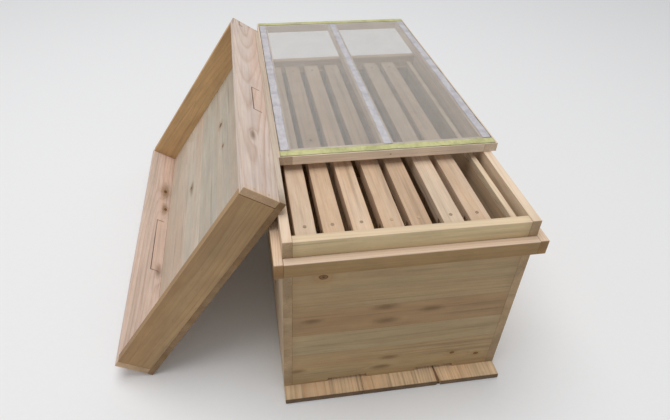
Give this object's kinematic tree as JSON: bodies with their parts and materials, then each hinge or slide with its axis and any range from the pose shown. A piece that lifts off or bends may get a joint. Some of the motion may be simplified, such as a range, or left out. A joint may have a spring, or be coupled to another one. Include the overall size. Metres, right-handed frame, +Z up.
{
  "type": "beehive",
  "caption": "Wooden beehive with hanging frames, a division board, a sliding wire mesh cover and a telescoping roof leaned against its side.",
  "frame": {"origin": "centre of the body box's footprint, on the ground under the floor planks", "axes": "+Z up, -Y towards the front wall with the entrance slots and the landing board, +X to the right seen from the front; the roof leans on the -X side"},
  "size_m": [0.5904, 0.688, 0.3547],
  "materials": {
    "pine_floor": "matt, planed",
    "pine_wall": "matt, planed",
    "pine_side": "matt, planed",
    "pine_batten": "matt, planed",
    "pine_top_bar": "matt, planed",
    "pine_frame": "matt, planed",
    "pine_divider": "matt, planed",
    "pine_cover": "matt, planed",
    "pine_roof_panel": "matt, planed",
    "pine_roof_long": "matt, planed",
    "pine_roof_short": "matt, planed",
    "nail_steel": "satin",
    "wire_mesh": "satin",
    "tape_white": "satin",
    "tape_green": "satin"
  },
  "bodies": {
    "hive": {"floor_left": "pine_floor", "floor_middle": "pine_floor", "floor_right": "pine_floor", "front_wall": "pine_wall", "rear_wall": "pine_wall", "left_wall": "pine_side", "right_wall": "pine_side", "front_batten": "pine_batten", "rear_batten": "pine_batten", "left_batten": "pine_batten", "right_batten": "pine_batten", "body_nails": "nail_steel"},
    "frame1": {"frame1_top_bar": "pine_top_bar", "frame1_end_bars": "pine_frame", "frame1_bottom_bar": "pine_frame", "frame1_nails": "nail_steel"},
    "frame2": {"frame2_top_bar": "pine_top_bar", "frame2_end_bars": "pine_frame", "frame2_bottom_bar": "pine_frame", "frame2_nails": "nail_steel"},
    "frame3": {"frame3_top_bar": "pine_top_bar", "frame3_end_bars": "pine_frame", "frame3_bottom_bar": "pine_frame", "frame3_nails": "nail_steel"},
    "frame4": {"frame4_top_bar": "pine_top_bar", "frame4_end_bars": "pine_frame", "frame4_bottom_bar": "pine_frame", "frame4_nails": "nail_steel"},
    "frame5": {"frame5_top_bar": "pine_top_bar", "frame5_end_bars": "pine_frame", "frame5_bottom_bar": "pine_frame", "frame5_nails": "nail_steel"},
    "frame6": {"frame6_top_bar": "pine_top_bar", "frame6_end_bars": "pine_frame", "frame6_bottom_bar": "pine_frame", "frame6_nails": "nail_steel"},
    "frame7": {"frame7_top_bar": "pine_top_bar", "frame7_end_bars": "pine_frame", "frame7_bottom_bar": "pine_frame", "frame7_nails": "nail_steel"},
    "divider": {"divider_board": "pine_divider", "divider_top_strip": "pine_divider"},
    "mesh_cover": {"cover_left_rail": "pine_cover", "cover_right_rail": "pine_cover", "cover_middle_rail": "pine_cover", "cover_front_rail": "pine_cover", "cover_rear_rail": "pine_cover", "cover_mesh": "wire_mesh", "cover_tapes": "tape_white", "cover_end_tapes": "tape_green", "cover_nails": "nail_steel"},
    "roof": {"roof_panel": "pine_roof_panel", "roof_upper_board": "pine_roof_long", "roof_lower_board": "pine_roof_long", "roof_front_board": "pine_roof_short", "roof_rear_board": "pine_roof_short", "roof_nails": "nail_steel"}
  },
  "joints": [
    {"name": "frame1_slide", "type": "slide", "parent": "hive", "child": "frame1", "axis": [1, 0, 0], "range_m": [-0.0059, 0.0038]},
    {"name": "frame2_slide", "type": "slide", "parent": "hive", "child": "frame2", "axis": [1, 0, 0], "range_m": [-0.0038, 0.0049]},
    {"name": "frame3_slide", "type": "slide", "parent": "hive", "child": "frame3", "axis": [1, 0, 0], "range_m": [-0.0049, 0.0059]},
    {"name": "frame4_slide", "type": "slide", "parent": "hive", "child": "frame4", "axis": [1, 0, 0], "range_m": [-0.0059, 0.0043]},
    {"name": "frame5_slide", "type": "slide", "parent": "hive", "child": "frame5", "axis": [1, 0, 0], "range_m": [-0.0043, 0.0077]},
    {"name": "frame6_slide", "type": "slide", "parent": "hive", "child": "frame6", "axis": [1, 0, 0], "range_m": [-0.0077, 0.0041]},
    {"name": "frame7_slide", "type": "slide", "parent": "hive", "child": "frame7", "axis": [1, 0, 0], "range_m": [-0.0041, 0.0133]},
    {"name": "divider_slide", "type": "slide", "parent": "hive", "child": "divider", "axis": [1, 0, 0], "range_m": [-0.0133, 0.008]},
    {"name": "cover_slide", "type": "slide", "parent": "hive", "child": "mesh_cover", "axis": [0, 1, 0], "range_m": [-0.154, 0.06]},
    {"name": "roof_lift", "type": "slide", "parent": "hive", "child": "roof", "axis": [0, 0, 1], "range_m": [0, 0.4]}
  ]
}
